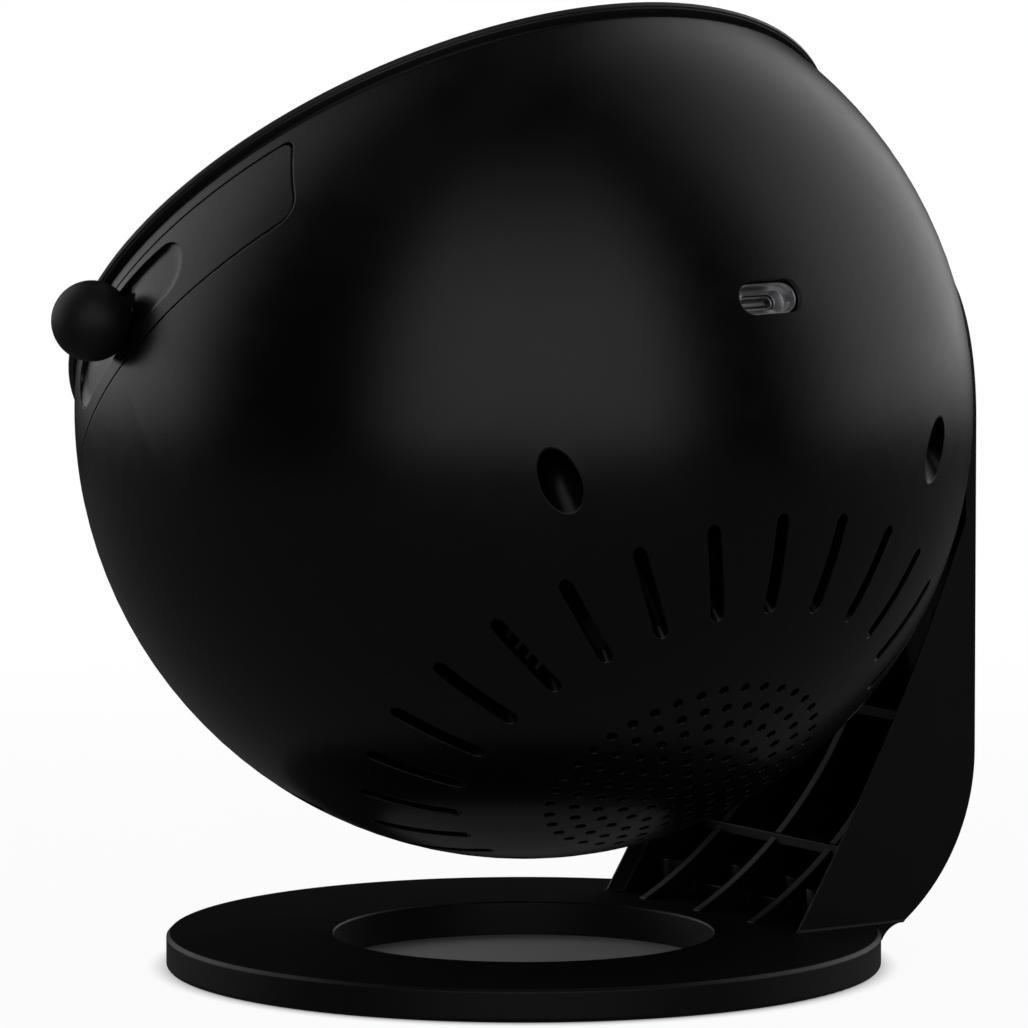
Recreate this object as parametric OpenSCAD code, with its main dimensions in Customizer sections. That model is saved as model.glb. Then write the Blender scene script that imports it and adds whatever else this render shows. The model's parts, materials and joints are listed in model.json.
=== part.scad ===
// Planetarium projector: a ball-shaped head on a one-sided arm with a ring-shaped foot.
// The origin is the centre of the foot ring's underside, +Z is up, the head looks along -Y and up,
// and it tilts about an axis along X. Pieces of the head are drawn in the head's own frame:
// its origin is the head's centre, +z the projecting axis, +x the disc tray side, +y the top side.

/* [Foot] */
// Outside radius of the foot ring
base_r = 64; // [60:0.5:68]
// Radius of the hole through the foot ring
base_hole_r = 34; // [30:0.5:36]
// Thickness of the foot ring
base_t = 6; // [5.5:0.25:8]
// Rounding of the foot ring's lower outside edge
base_round = 0.7; // [0.3:0.1:2]
// Chamfer of the foot ring's upper outside edge
base_chamfer = 0.6; // [0.2:0.1:1]
// Rounding at the top of the foot ring's hole
hole_round = 0.4; // [0.2:0.1:1]
// Width of the grip pad under the foot ring
pad_w = 14; // [10:0.5:16]
// Thickness of the grip pad
pad_t = 1.2; // [0.8:0.1:1.6]

/* [Arm] */
// Half of the arm's width
arm_half_w = 30; // [27:0.5:32]
// Thickness of the arm's back wall
arm_back_t = 2.6; // [2:0.1:3]
// Thickness of the arm's side walls and floor
arm_side_t = 2.4; // [2:0.1:3]
// Thickness of the arm's wall where it hugs the head
arm_hug_t = 2.4; // [1.8:0.1:4]
// Radius of the curve where the arm's back turns in to the foot
arm_heel_r = 38.1; // [34:0.1:42]
// Height at which the arm's back starts to turn in
arm_heel_z = 36; // [32:0.5:40]
// Distance of the arm's front edge from the middle, at the foot
arm_toe_x = 38.8; // [37:0.2:44]
// Depth of the arm at the upper bend of its front edge
arm_neck_depth = 7.8; // [6.6:0.1:8.6]
// Height of the upper bend of the arm's front edge
arm_neck_z = 77.5; // [70:0.5:84]
// Radius of the hollow under the arm's heel
heel_cove_r = 4.6; // [3.5:0.1:4.8]
// Width of the bevelled bead where the arm's sides meet the foot ring
arm_bead_w = 0.4; // [0.2:0.1:0.8]
// Radius of the arm's long hollow front edge
arm_front_r = 420; // [300:10:800]
// Thickness of the arm's inside ribs and shelves
rib_t = 1.8; // [1.2:0.1:2.4]
// Spacing of the upright ribs
rib_pitch = 16.9; // [14:0.1:18]
// Sideways place of the middle rib
rib_mid_y = -1.4; // [-3:0.1:3]
// Radius of the ribs' hollow front edges
rib_r = 76; // [70:0.5:80]
// Height of the lower shelf
low_shelf_z = 17.9; // [15:0.1:22]
// Height of the upper shelf
high_shelf_z = 40.5; // [36:0.5:48]
// Gap between the head and the arm that hugs it
head_gap = 1.3; // [0.8:0.1:1.6]

/* [Pivot] */
// Height of the pivot axis above the table
pivot_z = 100; // [99:0.5:108]
// Tilt of the projecting axis above the horizontal, as stored
rest_tilt = 50; // [0:1:90]
// Radius of the pivot bolt's shank
bolt_r = 5; // [4:0.25:6]
// Radius of the pivot bolt's flat head
bolt_head_r = 8; // [7:0.25:9]
// Thickness of the pivot bolt's head
bolt_head_t = 2; // [1.5:0.1:2.2]
// Thickness of the pivot cover cap
pivot_cap_t = 1; // [0.8:0.1:1.2]
// How far the middle of the arm's round top lies below the pivot axis
arm_top_drop = 4; // [0:0.5:8]
// Radius of the arm's pivot boss
pivot_boss_r = 19.5; // [16:0.5:21]
// Depth of the head's pivot flat below the round of the head
pivot_flat_in = 3.5; // [3:0.25:4]
// Thickness of the friction washer
friction_t = 1; // [0.6:0.1:1.4]
// Radius of the friction washer
friction_r = 16; // [13:0.5:18]
// Length of the head's pivot hub inside the shell
hub_len = 8; // [6:0.5:9]
// Radius of the head's pivot hub
hub_r = 13; // [11:0.5:14]
// Radial clearance of turning and sliding fits
run_fit = 0.05; // [0.03:0.01:0.08]

/* [Head shell] */
// Outside radius of the head
head_r = 80; // [79:0.25:81]
// Wall thickness of the shell
shell_wall = 2.5; // [2:0.1:3]
// Distance of the shell's open edge from the head's centre
shell_edge_z = 33.5; // [32.5:0.25:34]
// Number of cooling slots
slot_count = 24; // [18:1:30]
// Width of a cooling slot
slot_w = 2.6; // [2:0.1:3]
// Distance of a slot's inner end from the axis
slot_in_r = 39; // [37:0.5:41]
// Distance of a slot's outer end from the axis
slot_out_r = 54; // [50:0.5:56]
// Number of rings in the air intake's hole pattern
hole_rings = 6; // [4:1:7]
// Spacing of the rings in the hole pattern
hole_pitch = 4.15; // [3.6:0.05:4.3]
// Radius of an intake hole
hole_r = 0.95; // [0.6:0.05:1.1]
// Distance of the screw wells inside the round outline of the head
well_in = 15.4; // [14.4:0.1:16]
// Angle of the screw wells above and below the pivot axis
well_angle = 51.85; // [50:0.05:53]
// Radius of a screw well
well_r = 3.5; // [3.2:0.1:3.8]
// Angle of the charging socket from the back of the axis
socket_polar = 69.6; // [66:0.2:74]
// Width of the recess round the charging socket
socket_recess_w = 12.9; // [11.5:0.1:14]
// Height of the recess round the charging socket
socket_recess_h = 6; // [5.6:0.1:6.4]
// Depth of the recess round the charging socket
socket_recess_d = 5; // [4:0.1:5.5]

/* [Front] */
// How far the bezel's lip stands out past the round of the head
lip_over = 1.2; // [0.9:0.1:2]
// Thickness of the bezel's lip
lip_t = 1.4; // [1:0.1:2]
// Width of the dark groove under the lip
groove_w = 1.8; // [1.2:0.1:2.2]
// Width of the bezel's lip
lip_w = 7; // [6:0.25:8]
// Radial gap between the bezel's skirt and the shell
skirt_gap = 0.3; // [0.2:0.05:0.5]
// How deep the middle of the panel's round dish lies below its edge
dish_sag = 6.7; // [5.6:0.1:7.6]
// Thickness of the front panel
panel_t = 2; // [1.6:0.1:2.4]
// Distance of the buttons' ring inside the panel's edge
button_in = 11.7; // [10.7:0.1:12.7]
// Angle between neighbouring buttons
button_step = 22; // [20:0.5:24]
// Radius of a button
button_r = 4.5; // [4:0.1:5]
// How far a button stands out of the panel
button_rise = 1.2; // [1.05:0.05:1.5]
// Travel of a button
button_travel = 1; // [0.6:0.1:1]

/* [Disc tray] */
// Half of the tray cover's width
cover_half_w = 44.6; // [43.5:0.1:45]
// Distance of the tray cover's lower seam from the head's centre
cover_low_z = 15.8; // [15:0.1:16.5]
// Distance of the tray cover's upper seam from the head's centre
cover_high_z = 30.9; // [30:0.1:31.2]
// Gap of the seam round the tray cover
seam = 0.3; // [0.25:0.05:0.4]
// Half of the finger recess's length
scoop_half_w = 22; // [19:0.5:23]
// Half of the finger recess's height
scoop_r = 5.25; // [4.75:0.05:5.5]
// Place of the finger recess along the projecting axis
scoop_z = 24.2; // [23.5:0.1:24.5]
// Depth of the finger recess's round floor line inside the head's outline
scoop_in = 5; // [4:0.1:6]
// Radius of the ball knob
knob_r = 7.15; // [6.5:0.05:7.5]
// How far the ball knob's centre stands out of the head's outline
knob_out = 0.7; // [0:0.1:4]
// Place of the ball knob along the projecting axis
knob_z = 25.3; // [24.8:0.1:25.6]
// Radius of the knob's stem
stem_r = 2.2; // [1.8:0.1:2.6]
// Gap between the tray rails and the posts of the screw wells
rail_post_gap = 3.55; // [3:0.05:4.5]
// Thickness of the tray's plate
tray_t = 3; // [2.6:0.1:3.2]
// Height of the tray's underside along the projecting axis
tray_z = 19.2; // [19:0.1:19.4]
// Distance of the tray's inner end from the middle
tray_rear_x = 46; // [44:0.5:48]

/* [Disc drive] */
// Height of the turntable ring
ring_h = 4; // [3.5:0.1:4.2]
// Radius of the star disc
disc_r = 29; // [28:0.1:29.2]
// Thickness of the star disc
disc_t = 1.2; // [1:0.1:1.5]
// Radius of the drive motor
motor_r = 9; // [8:0.25:10]

/* [Optics] */
// Thickness of the chassis plate
chassis_t = 2.5; // [2:0.1:3]
// Height of the chassis plate's underside along the projecting axis
chassis_z = 8; // [7.5:0.1:8.5]
// Gap between the chassis plate and the shell's inside radius
chassis_gap = 8; // [6.5:0.5:9.5]
// Radius of the lens barrel
barrel_r = 20; // [18:0.25:20.5]
// Radius of the lens guide's outside
guide_r = 23; // [22.5:0.1:23.5]
// Radius of the focus ring
focus_r = 29.5; // [28.5:0.1:30]
// Height of the focus ring
focus_h = 11.6; // [10:0.2:13]
// Thickness of the focus ring's rubber grip
grip_t = 1.5; // [1:0.1:1.8]
// Radius of the front lens
front_lens_r = 17; // [15:0.25:17.5]
// Radius of the rear lens
rear_lens_r = 13; // [11:0.25:14]
// Radius of the large condenser lens
front_cond_r = 22.4; // [21:0.1:22.6]
// Radius of the small condenser lens
rear_cond_r = 16; // [14:0.25:17]
// Radius of the condenser housing
cond_house_r = 25; // [24.5:0.1:25.5]

/* [Lamp and fan] */
// Thickness of the heat sink's base
sink_base_t = 3; // [2:0.1:4]
// Length of the heat sink's fins
fin_len = 21; // [16:0.5:22]
// Number of heat sink fins
fin_count = 11; // [7:2:13]
// Thickness of a heat sink fin
fin_t = 1.2; // [0.8:0.1:1.5]
// Side of the square fan
fan_side = 50; // [48:0.5:50]
// Depth of the fan
fan_depth = 10; // [9:0.5:10]
// Number of fan blades
blade_count = 7; // [5:1:9]

/* [Hidden] */
$fn = 96;

// Small fits and shared clearances
face_gap = 0.05;
screw_fit = 0.1;
part_gap = 0.3;
far = 200;

// Foot and arm
pad_mid_r = base_r - 10;
heel_drop = base_t - 3;
arm_out_r = head_r + head_gap + arm_hug_t;
arm_neck_x = arm_out_r - arm_neck_depth;
arm_top_z = pivot_z - arm_top_drop;
arm_cavity_w = arm_half_w - arm_side_t;
heel_edge_r = arm_out_r - arm_heel_r + sqrt(arm_heel_r * arm_heel_r - pow(arm_heel_z - base_t, 2));
arm_floor_x = base_r - 14;
arm_edge_chamfer = 2;
arm_screw_r = 1.5;
arm_screw_head_r = 3;
arm_screw_head_t = 1.8;
arm_boss_r = 3.6;
arm_boss_h = 6;
arm_screw_len = base_t + arm_boss_h - 1.3 - pad_t - arm_screw_head_t - part_gap;
arm_screw_spots = [[base_r - 7, rib_mid_y - rib_pitch / 2], [base_r - 7, rib_mid_y + rib_pitch / 2],
    [base_r - 13, -arm_cavity_w + arm_boss_r + 0.6], [base_r - 13, arm_cavity_w - arm_boss_r - 2]];
rib_mid_x = arm_out_r - 78.7;
rib_mid_z = 74.2;

// Pivot, measured outwards from the head's centre along -X
pivot_flat_x = head_r - pivot_flat_in;
pivot_face_x = pivot_flat_x + friction_t;
hub_in_x = pivot_flat_x - shell_wall - hub_len;
pressure_t = 1.2;
spring_t = 1.8;
nut_t = 5;
washer_r = 10;
cap_face_x = arm_out_r - 0.5;
bolt_seat_x = cap_face_x - pivot_cap_t - bolt_head_t;
cap_well_r = bolt_head_r + 1;

// Shell
inner_r = head_r - shell_wall;
well_x = (head_r - well_in) * cos(well_angle);
well_y = (head_r - well_in) * sin(well_angle);
slot_low_z = -sqrt(inner_r * inner_r - slot_out_r * slot_out_r) + 10;
hole_low_z = -sqrt(inner_r * inner_r - pow(hole_rings * hole_pitch + hole_r, 2)) + 10;
chassis_r = inner_r - chassis_gap;
well_floor_z = chassis_z - 3;
well_wall = 1.5;
shell_screw_r = 1.5;
shell_screw_head_r = 2.9;
shell_screw_head_t = 2.4;
shell_screw_len = 16;
socket_dist = head_r - socket_recess_d;
socket_wall = 1.5;
usb_w = 7.1;
usb_h = 2.5;
usb_len = 6;
usb_board_w = 16;
usb_board_len = 9;
usb_board_t = 1.2;

// Front
lip_z = shell_edge_z + groove_w;
lip_r = sqrt(head_r * head_r - lip_z * lip_z) + lip_over;
lip_in_r = lip_r - lip_w;
front_z = lip_z + lip_t;
skirt_r = sqrt(inner_r * inner_r - shell_edge_z * shell_edge_z) - skirt_gap;
skirt_t = 2;
skirt_low_z = 27.5;
post_r = 4.5;
panel_rim_r = lip_in_r - part_gap;
panel_top_z = front_z - 0.5;
panel_flat_r = panel_rim_r - 2.7;
button_ring_r = panel_rim_r - button_in;
dish_r = (panel_flat_r * panel_flat_r + dish_sag * dish_sag) / (2 * dish_sag);
dish_mid_z = panel_top_z + sqrt(dish_r * dish_r - panel_flat_r * panel_flat_r);
function dish_z(r) = dish_mid_z - sqrt(dish_r * dish_r - r * r);
button_flange_t = 1;
button_flange_r = button_r + 1;
button_seat_z = dish_z(button_ring_r - button_r - 1) - panel_t - 0.3;
board_t = 1.5;
control_z = 25.4;
control_w = 2 * (well_x - post_r - 1);
switch_h = 1.8;
button_stem_z = control_z + board_t + switch_h + button_travel + 0.15;

// Tray and disc drive
gear_module = 1;
ring_teeth = 64;
pinion_teeth = 10;
gear_pitch_r = gear_module * ring_teeth / 2;
pinion_pitch_r = gear_module * pinion_teeth / 2;
tooth_add = 0.85 * gear_module;
tooth_ded = 1.15 * gear_module;
ring_well_r = gear_pitch_r + tooth_add + 0.7;
ledge_t = 1;
ledge_r = ring_well_r - 3.4;
ring_z = tray_z + ledge_t + 0.1;
disc_seat_r = disc_r + 0.15;
disc_open_r = disc_r - 2;
disc_z = ring_z + 2;
pinion_x = gear_pitch_r + pinion_pitch_r;
pinion_notch = pinion_pitch_r + tooth_add + 1.6;
shaft_r = 1;
motor_h = 7.8;
rail_front_x = chassis_r - 12.5;
scoop_x = head_r - scoop_in;
knob_x = head_r + knob_out;
rail_gap = 0.15;
rail_t = 2.6;
rail_grip = 3;
tray_half_w = well_y - post_r - rail_post_gap - rail_t - rail_gap;
rail_lip_t = 2;
cover_low_round = 3.5;
cover_high_round = 2;
scoop_wall = 1.6;
clip_angles = [50, 130, 230, 310];

// Lenses
guide_low_z = 26.4;
guide_top_z = 42;
flange_z = dish_z(guide_r + part_gap) - panel_t;
guide_flange_t = 2;
guide_flange_r = focus_r + 4.5;
barrel_low_z = 26.7;
barrel_top_z = 44;
focus_travel = 5;
focus_z = dish_z(focus_r + grip_t) + 0.6;
groove_depth = 1.6;
pin_r = 1.2;
pin_z = focus_z + 3;
panel_hole_r = guide_r + part_gap;
cond_low_z = -20;
cond_top_z = 14;
cond_flange_r = 31;
cond_flange_t = 2.5;
optics_screw_ring = 28;
optics_screw_r = 1.2;
optics_screw_head_r = 2.2;
optics_screw_head_t = 1.4;
rear_cond_z = -9;
front_cond_z = 7;

// Inside leads
board_z = 3.4;
board_half_w = 33;
board_y = cond_flange_r + 2;
board_d = inner_r - 15.5 - board_y;
lead_r = 0.8;
lead_pitch = 3;
lamp_lead_x = -4;

// Lamp and fan
led_board_r = 12;
led_board_t = 1.6;
led_side = 5;
fin_r = 22;
fan_low_z = -sqrt(inner_r * inner_r - pow(fan_side / sqrt(2) + 1.82, 2));
fan_screw_at = 20;
fan_bore_r = fan_side / 2 - 1.4;
fan_hub_r = 10;
blade_gap = 0.8;

// ---- Shared shapes ----

// Puts the head's frame in its place on the stand
module in_head() {
    translate([0, 0, pivot_z]) rotate([90 - rest_tilt, 0, 0]) children();
}

// Cylinder along +X between two places on the X axis
module x_rod(r, x_from, x_to) {
    translate([x_from, 0, 0]) rotate([0, 90, 0]) cylinder(r = r, h = x_to - x_from);
}

// Cylinder along +Z between two heights
module z_rod(r, z_from, z_to) {
    translate([0, 0, z_from]) cylinder(r = r, h = z_to - z_from);
}

module z_tube(r_out, r_in, z_from, z_to) {
    difference() {
        z_rod(r_out, z_from, z_to);
        z_rod(r_in, z_from - 1, z_to + 1);
    }
}

// Pan-head screw with a cross recess: the head lies under z = 0, the shank above it
module screw(head_radius, head_t, shank_radius, len) {
    slot_l = head_radius * 1.1;
    slot_t = head_radius * 0.24;
    difference() {
        union() {
            z_rod(head_radius, -head_t, 0);
            z_rod(shank_radius, 0, len);
        }
        for (turn = [0, 90]) rotate([0, 0, turn])
            translate([-slot_l / 2, -slot_t / 2, -head_t - 1]) cube([slot_l, slot_t, 1 + head_t * 0.6]);
    }
}

// Flat shape of a slot with round ends, centred, long side along X
module stadium(len, wide) {
    square([len - wide, wide], center = true);
    for (side = [-1, 1]) translate([side * (len - wide) / 2, 0]) circle(d = wide);
}

// Flat rectangle with two different pairs of round corners: low ones and high ones
module two_round_rect(half_w, low, high, low_round, high_round) {
    polygon([
        [-half_w + low_round, low], [half_w - low_round, low],
        [half_w, low + low_round], [half_w, high - high_round],
        [half_w - high_round, high], [-half_w + high_round, high],
        [-half_w, high - high_round], [-half_w, low + low_round]
    ]);
    for (side = [-1, 1]) {
        translate([side * (half_w - low_round), low + low_round]) circle(r = low_round);
        translate([side * (half_w - high_round), high - high_round]) circle(r = high_round);
    }
}

// Stands a flat (y, z) shape up and runs it along +X
module along_x(x_from, x_to) {
    translate([x_from, 0, 0]) rotate([90, 0, 90]) linear_extrude(x_to - x_from) children();
}

// Straight-sided gear outline with a tooth on the +X axis
module gear_outline(teeth) {
    pitch_r = gear_module * teeth / 2;
    step = 360 / teeth;
    tip = step * 0.13;
    root = step * 0.34;
    tip_r = pitch_r + tooth_add;
    root_r = pitch_r - tooth_ded;
    polygon([for (i = [0 : teeth - 1])
        for (corner = [[-root, root_r], [-tip, tip_r], [tip, tip_r], [root, root_r]])
        corner[1] * [cos(i * step + corner[0]), sin(i * step + corner[0])]]);
}

// Lens with one flat side down: an edge of even thickness and a domed top
module dome_lens(r, z_from, edge, rise) {
    ball_r = (r * r + rise * rise) / (2 * rise);
    intersection() {
        z_rod(r, z_from, z_from + edge + rise);
        translate([0, 0, z_from + edge + rise - ball_r]) sphere(r = ball_r, $fn = 160);
    }
}

// Tube swept along a route of points
function unit(v) = v / norm(v);
function route_dir(route, i) = unit(route[min(i + 1, len(route) - 1)] - route[max(i - 1, 0)]);
function side_dir(d) = unit(cross(d, abs(d[0]) < 0.9 ? [1, 0, 0] : [0, 1, 0]));
module lead(route, r, sides = 8) {
    count = len(route);
    points = [for (i = [0 : count - 1]) let (d = route_dir(route, i), a = side_dir(d), b = cross(d, a))
        for (k = [0 : sides - 1]) route[i] + r * (cos(360 * k / sides) * a + sin(360 * k / sides) * b)];
    walls = [for (i = [0 : count - 2]) for (k = [0 : sides - 1]) let (n = (k + 1) % sides)
        [i * sides + k, (i + 1) * sides + k, (i + 1) * sides + n, i * sides + n]];
    ends = [[for (k = [0 : sides - 1]) k], [for (k = [sides - 1 : -1 : 0]) (count - 1) * sides + k]];
    polyhedron(points = points, faces = concat(walls, ends), convexity = 6);
}

// ---- Foot ----

module base_profile() {
    body_w = base_r - base_hole_r;
    difference() {
        union() {
            translate([base_hole_r, 0]) square([body_w - base_round, base_t]);
            translate([base_hole_r, base_round]) square([body_w, base_t - base_round]);
            translate([base_r - base_round, base_round]) circle(r = base_round);
        }
        translate([base_r, base_t]) rotate(45) square(base_chamfer * sqrt(2), center = true);
        difference() {
            translate([base_hole_r - 1, base_t - hole_round]) square([1 + hole_round, hole_round + 1]);
            translate([base_hole_r + hole_round, base_t - hole_round]) circle(r = hole_round);
        }
    }
}

module at_arm_screws() {
    for (spot = arm_screw_spots) translate([-spot[0], spot[1], 0]) children();
}

module base_ring() {
    color("#17181a") difference() {
        rotate_extrude() base_profile();
        z_tube(pad_mid_r + pad_w / 2 + face_gap, pad_mid_r - pad_w / 2 - face_gap, -1, pad_t);
        at_arm_screws() z_rod(arm_screw_head_r + part_gap, -1, pad_t + arm_screw_head_t + part_gap);
        at_arm_screws() z_rod(arm_screw_r + screw_fit, 0, base_t + 1);
    }
}

module base_pad() {
    color("#0c0c0d") z_tube(pad_mid_r + pad_w / 2, pad_mid_r - pad_w / 2, 0, pad_t);
}

module arm_screws() {
    color("#8d9094") at_arm_screws() translate([0, 0, pad_t + arm_screw_head_t + part_gap])
        screw(arm_screw_head_r, arm_screw_head_t, arm_screw_r, arm_screw_len);
}

// ---- Arm ----

// Solid of revolution inside the arm's outside face, drawn in by an inset
module arm_round(inset) {
    heel_mid_r = arm_out_r - arm_heel_r;
    top_z = pivot_z + arm_half_w + 10;
    rotate_extrude() {
        translate([0, -base_t]) square([heel_mid_r, arm_heel_z + base_t]);
        translate([0, arm_heel_z]) square([arm_out_r - inset, top_z - arm_heel_z]);
        intersection() {
            translate([heel_mid_r, arm_heel_z]) circle(r = arm_heel_r - inset);
            translate([0, -base_t]) square([far, arm_heel_z + base_t]);
        }
    }
}

// Block of the arm's width with a round top about the pivot
module arm_block(half_w, z_from) {
    translate([-far / 2, -half_w, z_from]) cube([far / 2 - 30, 2 * half_w, arm_top_z - z_from]);
    translate([0, 0, arm_top_z]) x_rod(half_w, -far / 2, -30);
}

// Centre of the hollow curve of the arm's long front edge, in the XZ plane
arm_toe = [-arm_toe_x, base_t];
arm_neck = [-arm_neck_x, arm_neck_z];
arm_chord = arm_neck - arm_toe;
arm_front_mid = (arm_toe + arm_neck) / 2 + [arm_chord[1], -arm_chord[0]] / norm(arm_chord)
    * sqrt(arm_front_r * arm_front_r - arm_chord * arm_chord / 4);

// Everything behind the arm's long front edge
module behind_front() {
    translate([0, far / 2, 0]) rotate([90, 0, 0]) linear_extrude(far) difference() {
        polygon([[-far / 2, -base_t], [-arm_toe_x, -base_t], arm_toe, arm_neck,
            [-arm_neck_x, far], [-far / 2, far]]);
        intersection() {
            translate(arm_front_mid) circle(r = arm_front_r, $fn = 360);
            translate([-far / 2, base_t]) square([far / 2, arm_neck_z - base_t]);
        }
    }
}

// Cuts the inner corner off the side walls' front edges
module front_edge_chamfers() {
    intersection() {
        translate([-far / 2, -far / 2, base_t]) cube([far / 2, far, arm_neck_z - base_t - 6]);
        for (side = [-1, 1]) scale([1, side, 1])
            translate([arm_front_mid[0], 0, arm_front_mid[1]]) rotate([-90, 0, 0])
                rotate_extrude($fn = 360) polygon([[arm_front_r - 1, arm_cavity_w - 1],
                    [arm_front_r + arm_edge_chamfer + 1, arm_cavity_w - 1],
                    [arm_front_r, arm_cavity_w + arm_edge_chamfer],
                    [arm_front_r - 1, arm_cavity_w + arm_edge_chamfer]]);
    }
}

// Bevelled beads along the foot of the side walls
module arm_beads() {
    intersection() {
        arm_round(0);
        for (side = [-1, 1]) scale([1, side, 1]) translate([-far / 2, arm_half_w, base_t]) rotate([90, 0, 90])
            linear_extrude(far / 2 - arm_toe_x)
                polygon([[-0.2, 0], [arm_bead_w, 0], [0, arm_bead_w], [-0.2, arm_bead_w]]);
    }
}

module arm_walls() {
    difference() {
        union() {
            intersection() {
                arm_round(0);
                arm_block(arm_half_w, base_t - heel_drop);
                behind_front();
            }
            arm_beads();
        }
        intersection() {
            arm_round(arm_back_t);
            arm_block(arm_cavity_w, base_t + arm_side_t);
        }
        translate([-arm_floor_x, -arm_cavity_w, 0]) cube([far, 2 * arm_cavity_w, base_t + arm_side_t + 1]);
        front_edge_chamfers();
        rotate_extrude() translate([heel_edge_r + 0.1, base_t - heel_cove_r]) circle(r = heel_cove_r);
        translate([0, 0, pivot_z]) sphere(r = head_r + head_gap, $fn = 160);
    }
}

// Distance of the ribs' front edge from the middle, at a height
function rib_front_x(z) = rib_mid_x + sqrt(rib_r * rib_r - (rib_mid_z - z) * (rib_mid_z - z));

module arm_ribs() {
    intersection() {
        arm_round(arm_back_t / 2);
        arm_block(arm_half_w - arm_side_t / 2, base_t);
        behind_front();
        union() {
            difference() {
                for (i = [-1 : 1]) translate([-far / 2, rib_mid_y + i * rib_pitch - rib_t / 2, base_t])
                    cube([far / 2, rib_t, pivot_z - pivot_boss_r - 2 * base_t]);
                translate([-rib_mid_x, far / 2, rib_mid_z]) rotate([90, 0, 0]) cylinder(r = rib_r, h = far);
            }
            for (z = [low_shelf_z, high_shelf_z])
                translate([-far / 2, -far / 2, z - rib_t / 2]) cube([far / 2 - rib_front_x(z), far, rib_t]);
            at_arm_screws() z_rod(arm_boss_r, base_t, base_t + arm_boss_h);
        }
    }
}

module support_arm() {
    color("#141517") difference() {
        union() {
            arm_walls();
            arm_ribs();
            intersection() {
                arm_round(0);
                translate([0, 0, pivot_z]) x_rod(pivot_boss_r, -far / 2, -pivot_face_x);
            }
        }
        z_rod(base_r + 0.15, -base_t, base_t);
        at_arm_screws() z_rod(arm_screw_r + screw_fit, 0, base_t + arm_boss_h - 1);
        translate([0, 0, pivot_z]) {
            x_rod(bolt_r + run_fit, -far / 2, 0);
            x_rod(cap_well_r, -far / 2, -bolt_seat_x);
        }
    }
}

// ---- Pivot ----

module pivot_bolt() {
    tip_x = hub_in_x - pressure_t - spring_t - nut_t - 1;
    color("#a3a6aa") translate([0, 0, pivot_z]) difference() {
        union() {
            x_rod(bolt_head_r, -bolt_seat_x - bolt_head_t, -bolt_seat_x);
            x_rod(bolt_r, -bolt_seat_x, -tip_x);
        }
        rotate([0, 90, 0])
            cylinder(r = bolt_r / 2, h = 2 * (bolt_seat_x + bolt_head_t) - 3, center = true, $fn = 6);
    }
}

module pivot_cap() {
    color("#191a1c") translate([0, 0, pivot_z])
        x_rod(cap_well_r - part_gap / 2, -cap_face_x, -cap_face_x + pivot_cap_t);
}

module washer_on_pivot(r, x_out, thick) {
    translate([0, 0, pivot_z]) difference() {
        x_rod(r, -x_out, -x_out + thick);
        x_rod(bolt_r + 2 * run_fit, -x_out - 1, -x_out + thick + 1);
    }
}

module friction_washer() {
    color("#3a3530") washer_on_pivot(friction_r, pivot_face_x, friction_t - face_gap);
}

module pressure_washer() {
    color("#a3a6aa") washer_on_pivot(washer_r, hub_in_x - face_gap, pressure_t - face_gap);
}

// Cupped spring washer
module spring_washer() {
    from_x = hub_in_x - pressure_t;
    thick = spring_t / 2;
    inner = bolt_r + 2 * run_fit;
    color("#7f8388") translate([-from_x, 0, pivot_z]) rotate([0, 90, 0]) rotate_extrude()
        polygon([[inner, spring_t - thick], [washer_r, 0], [washer_r, thick], [inner, spring_t]]);
}

module pivot_nut() {
    from_x = hub_in_x - pressure_t - spring_t;
    color("#a3a6aa") translate([-from_x, 0, pivot_z]) rotate([0, 90, 0]) difference() {
        cylinder(r = washer_r - 0.5, h = nut_t, $fn = 6);
        translate([0, 0, -1]) cylinder(r = bolt_r + run_fit, h = nut_t + 2);
    }
}

// ---- Head shell ----

module at_wells() {
    for (x = [-well_x, well_x]) for (y = [-well_y, well_y]) translate([x, y, 0]) children();
}

// Turns +Z to the direction in which the charging socket faces
module at_socket() {
    rotate([socket_polar - 180, 0, 0]) children();
}

module tray_cover_prism(grow) {
    along_x(20, far / 2) two_round_rect(cover_half_w + grow, cover_low_z - grow, cover_high_z + grow,
        cover_low_round, cover_high_round);
}

module cooling_slots() {
    mid_r = (slot_in_r + slot_out_r) / 2;
    for (i = [0 : slot_count - 1]) rotate([0, 0, i * 360 / slot_count]) translate([0, mid_r, -far / 2])
        linear_extrude(far / 2 + slot_low_z) rotate(90) stadium(slot_out_r - slot_in_r, slot_w);
}

module intake_holes() {
    z_rod(hole_r, -far / 2, hole_low_z);
    for (k = [1 : hole_rings]) for (i = [0 : 6 * k - 1])
        rotate([0, 0, (i + (k % 2) / 2) * 60 / k]) translate([0, k * hole_pitch, 0])
            z_rod(hole_r, -far / 2, hole_low_z);
}

module at_fan_screws() {
    for (x = [-fan_screw_at, fan_screw_at]) for (y = [-fan_screw_at, fan_screw_at])
        translate([x, y, 0]) children();
}

// Bosses, tubes and cups on the inside of the shell
module shell_inside() {
    at_wells() z_rod(well_r + well_wall, -far / 2, chassis_z);
    at_fan_screws() z_rod(3.2, -far / 2, fan_low_z);
    x_rod(hub_r, -far / 2, -hub_in_x);
    translate([-pivot_flat_x, -far / 2, -far / 2]) cube([shell_wall, far, far]);
    at_socket() translate([0, 0, socket_dist - socket_wall]) linear_extrude(far)
        stadium(socket_recess_w + 2 * socket_wall, socket_recess_h + 2 * socket_wall);
    at_socket() for (side = [-1, 1])
        translate([side * (usb_board_w / 2 - 1.5) - 1.5, -usb_h / 2 - usb_board_t - 2.5,
            socket_dist - socket_wall - 7])
            cube([3, 2.5 - face_gap, 12]);
}

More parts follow.
